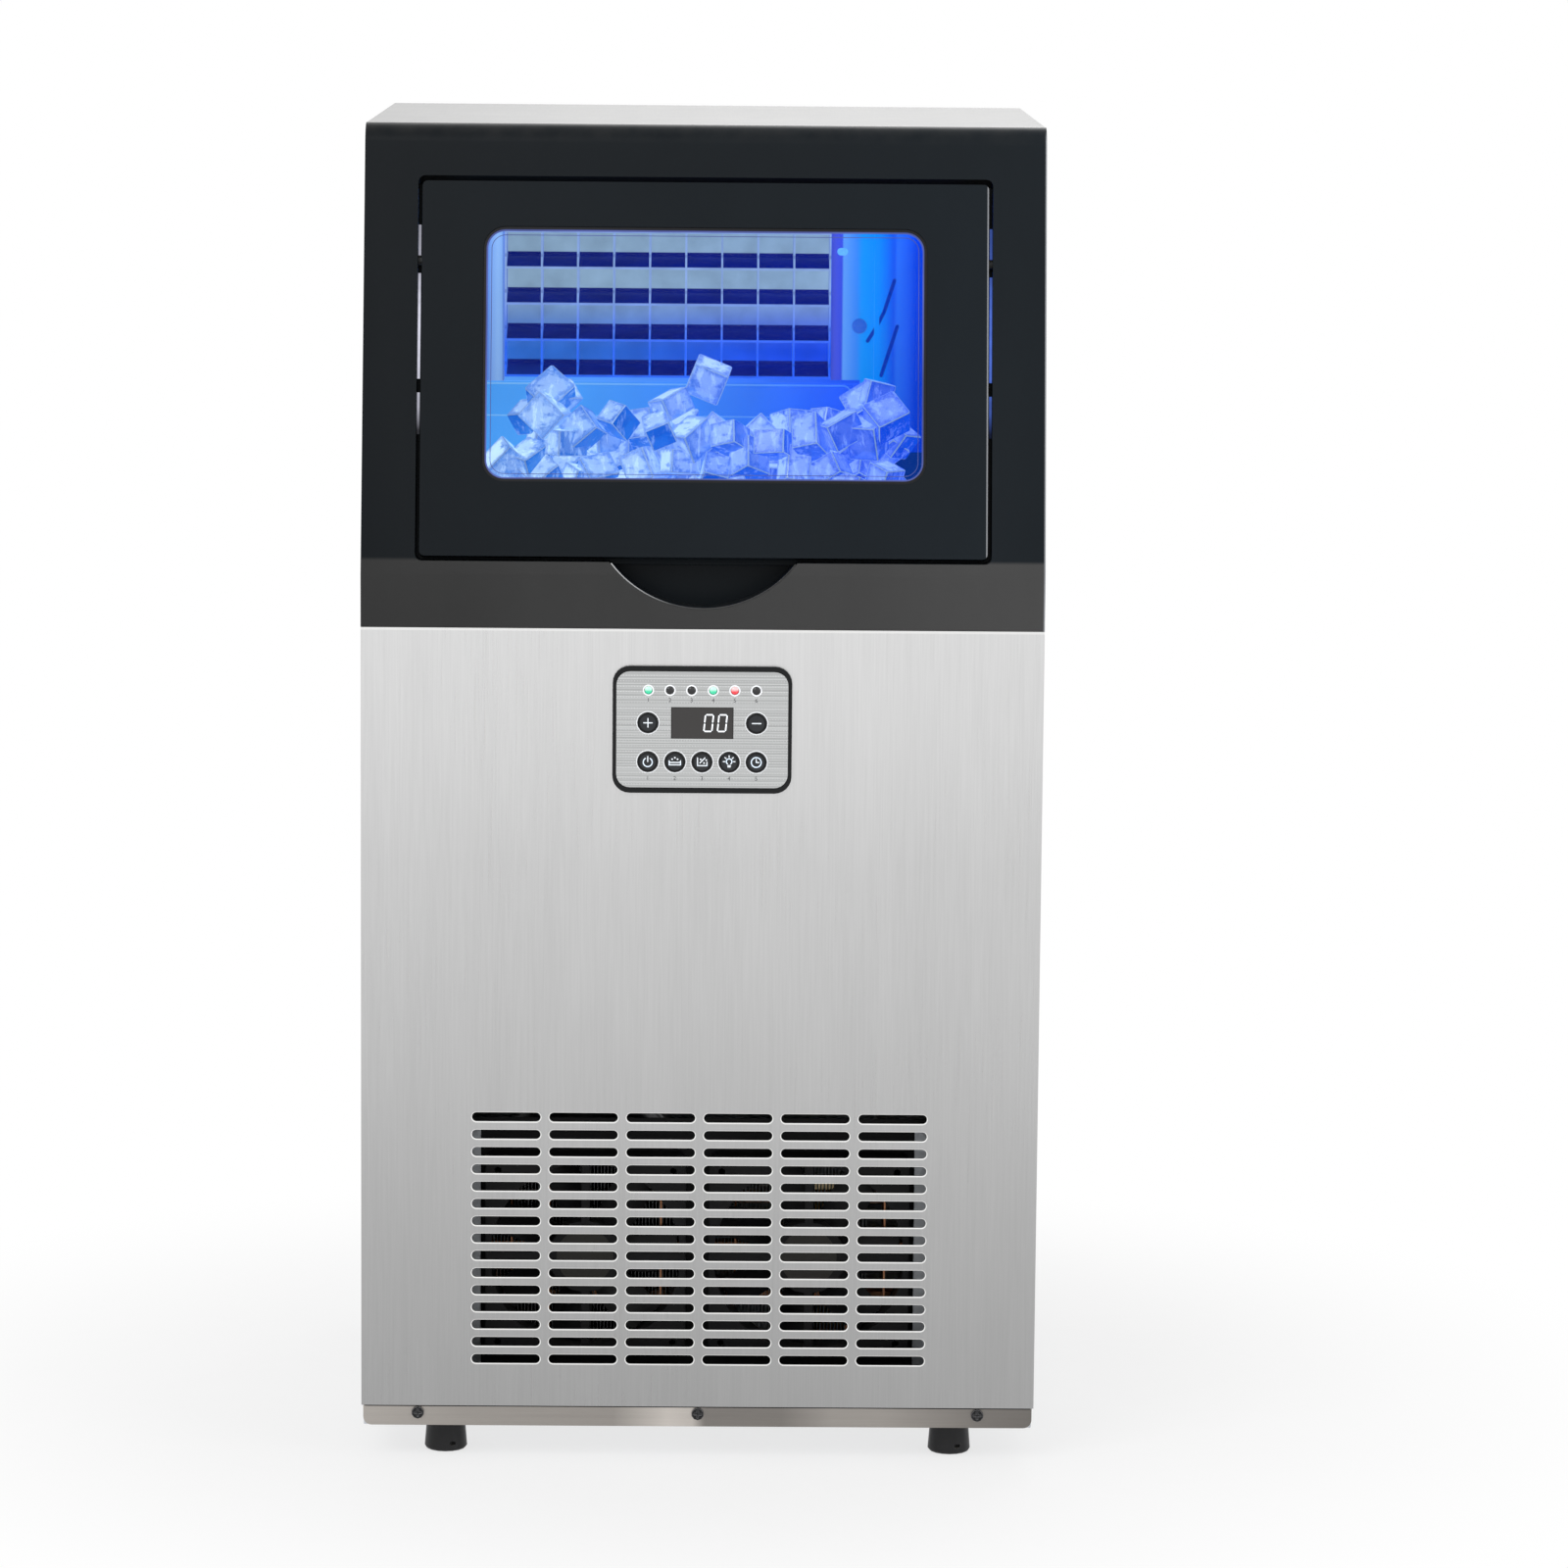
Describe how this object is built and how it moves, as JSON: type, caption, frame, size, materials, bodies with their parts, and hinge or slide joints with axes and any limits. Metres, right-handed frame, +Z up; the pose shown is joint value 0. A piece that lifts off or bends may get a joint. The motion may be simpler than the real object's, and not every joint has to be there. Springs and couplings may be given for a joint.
{
  "type": "undercounter ice maker",
  "caption": "Steel undercounter ice maker with a leaning black fascia, a flap door with a lit window, a control panel, air slots and levelling feet.",
  "frame": {"origin": "on the floor, under the centre of the machine", "axes": "+Z up, the front faces -Y, +X is to the right as seen from the front"},
  "size_m": [0.4, 0.3874, 0.79],
  "materials": {
    "galvanised": "bare zinc coated sheet",
    "brushed_steel": "fine vertical grain",
    "black_plastic": "satin, fine texture",
    "black_screw": "black",
    "silver_plate": "silver with fine lines",
    "dark_display": "dark smoked",
    "circuit_board": "green lacquer",
    "lamp_green": "lit",
    "lamp_red": "lit",
    "lamp_off": "clear",
    "fins": "dull",
    "black_enamel": "gloss enamel",
    "copper": "drawn",
    "brass": "cast",
    "white_liner": "smooth",
    "blue_light": "lit",
    "tray_metal": "tinned",
    "pump_plastic": "moulded",
    "hose": "translucent",
    "clear_pane": "clear",
    "button_cap": "satin",
    "foot_rubber": "moulded"
  },
  "bodies": {
    "cabinet": {"base_pan": "galvanised", "deck": "galvanised", "rear_panel": "galvanised", "fan_plate": "galvanised", "base_strip": "brushed_steel", "front_panel": "brushed_steel", "left_side_panel": "brushed_steel", "right_side_panel": "brushed_steel", "top_panel": "brushed_steel", "fascia": "black_plastic", "control_bezel": "black_plastic", "fan_frame_left": "black_plastic", "fan_frame_right": "black_plastic", "strip_screw_left": "black_screw", "strip_screw_centre": "black_screw", "strip_screw_right": "black_screw", "control_plate": "silver_plate", "display_window": "dark_display", "control_board": "circuit_board", "indicator_1": "lamp_green", "indicator_4": "lamp_green", "indicator_5": "lamp_red", "indicator_2": "lamp_off", "indicator_3": "lamp_off", "indicator_6": "lamp_off", "condenser": "fins", "compressor": "black_enamel", "filter_drier": "copper", "suction_line": "copper", "evaporator_coil": "copper", "hot_gas_valve": "brass", "ice_bin": "white_liner", "tray_frame": "white_liner", "water_trough": "white_liner", "water_spreader": "white_liner", "drain_spigot": "white_liner", "light_strip": "blue_light", "evaporator_tray": "tray_metal", "water_pump": "pump_plastic", "cable_gland": "pump_plastic", "inlet_valve": "pump_plastic", "drain_hose": "hose"},
    "door": {"door_frame": "black_plastic", "door_window": "clear_pane", "door_pin_left": "brushed_steel", "door_pin_right": "brushed_steel"},
    "fan_left": {"fan_rotor_left": "black_plastic"},
    "fan_right": {"fan_rotor_right": "black_plastic"},
    "flap": {"ice_flap": "white_liner"},
    "button_plus_body": {"button_plus": "button_cap"},
    "button_minus_body": {"button_minus": "button_cap"},
    "button_power_body": {"button_power": "button_cap"},
    "button_rinse_body": {"button_rinse": "button_cap"},
    "button_harvest_body": {"button_harvest": "button_cap"},
    "button_light_body": {"button_light": "button_cap"},
    "button_timer_body": {"button_timer": "button_cap"},
    "foot_front_left_body": {"foot_front_left": "foot_rubber"},
    "foot_front_right_body": {"foot_front_right": "foot_rubber"},
    "foot_rear_left_body": {"foot_rear_left": "foot_rubber"},
    "foot_rear_right_body": {"foot_rear_right": "foot_rubber"}
  },
  "joints": [
    {"name": "door_hinge", "type": "hinge", "parent": "cabinet", "child": "door", "pos_m": [0, -0.14444, 0.71032], "axis": [-1, 0, 0], "range_deg": [0, 75]},
    {"name": "flap_hinge", "type": "hinge", "parent": "cabinet", "child": "flap", "pos_m": [-0.0219, -0.00805, 0.6252], "axis": [-1, 0, 0], "range_deg": [0, 35]},
    {"name": "fan_left_spin", "type": "hinge", "parent": "cabinet", "child": "fan_left", "pos_m": [-0.068, -0.138, 0.115], "axis": [0, 1, 0], "continuous": true},
    {"name": "fan_right_spin", "type": "hinge", "parent": "cabinet", "child": "fan_right", "pos_m": [0.066, -0.138, 0.115], "axis": [0, 1, 0], "continuous": true},
    {"name": "button_plus_press", "type": "slide", "parent": "cabinet", "child": "button_plus_body", "axis": [0, 1, 0], "range_m": [0, 0.0008], "stiffness_N_per_m": 1000, "springref_m": -0.0005},
    {"name": "button_minus_press", "type": "slide", "parent": "cabinet", "child": "button_minus_body", "axis": [0, 1, 0], "range_m": [0, 0.0008], "stiffness_N_per_m": 1000, "springref_m": -0.0005},
    {"name": "button_power_press", "type": "slide", "parent": "cabinet", "child": "button_power_body", "axis": [0, 1, 0], "range_m": [0, 0.0008], "stiffness_N_per_m": 1000, "springref_m": -0.0005},
    {"name": "button_rinse_press", "type": "slide", "parent": "cabinet", "child": "button_rinse_body", "axis": [0, 1, 0], "range_m": [0, 0.0008], "stiffness_N_per_m": 1000, "springref_m": -0.0005},
    {"name": "button_harvest_press", "type": "slide", "parent": "cabinet", "child": "button_harvest_body", "axis": [0, 1, 0], "range_m": [0, 0.0008], "stiffness_N_per_m": 1000, "springref_m": -0.0005},
    {"name": "button_light_press", "type": "slide", "parent": "cabinet", "child": "button_light_body", "axis": [0, 1, 0], "range_m": [0, 0.0008], "stiffness_N_per_m": 1000, "springref_m": -0.0005},
    {"name": "button_timer_press", "type": "slide", "parent": "cabinet", "child": "button_timer_body", "axis": [0, 1, 0], "range_m": [0, 0.0008], "stiffness_N_per_m": 1000, "springref_m": -0.0005},
    {"name": "foot_front_left_turn", "type": "hinge", "parent": "cabinet", "child": "foot_front_left_body", "pos_m": [-0.151, -0.16125, 0.01], "axis": [0, 0, 1], "continuous": true},
    {"name": "foot_front_right_turn", "type": "hinge", "parent": "cabinet", "child": "foot_front_right_body", "pos_m": [0.151, -0.16125, 0.01], "axis": [0, 0, 1], "continuous": true},
    {"name": "foot_rear_left_turn", "type": "hinge", "parent": "cabinet", "child": "foot_rear_left_body", "pos_m": [-0.151, 0.14875, 0.01], "axis": [0, 0, 1], "continuous": true},
    {"name": "foot_rear_right_turn", "type": "hinge", "parent": "cabinet", "child": "foot_rear_right_body", "pos_m": [0.151, 0.14875, 0.01], "axis": [0, 0, 1], "continuous": true}
  ]
}
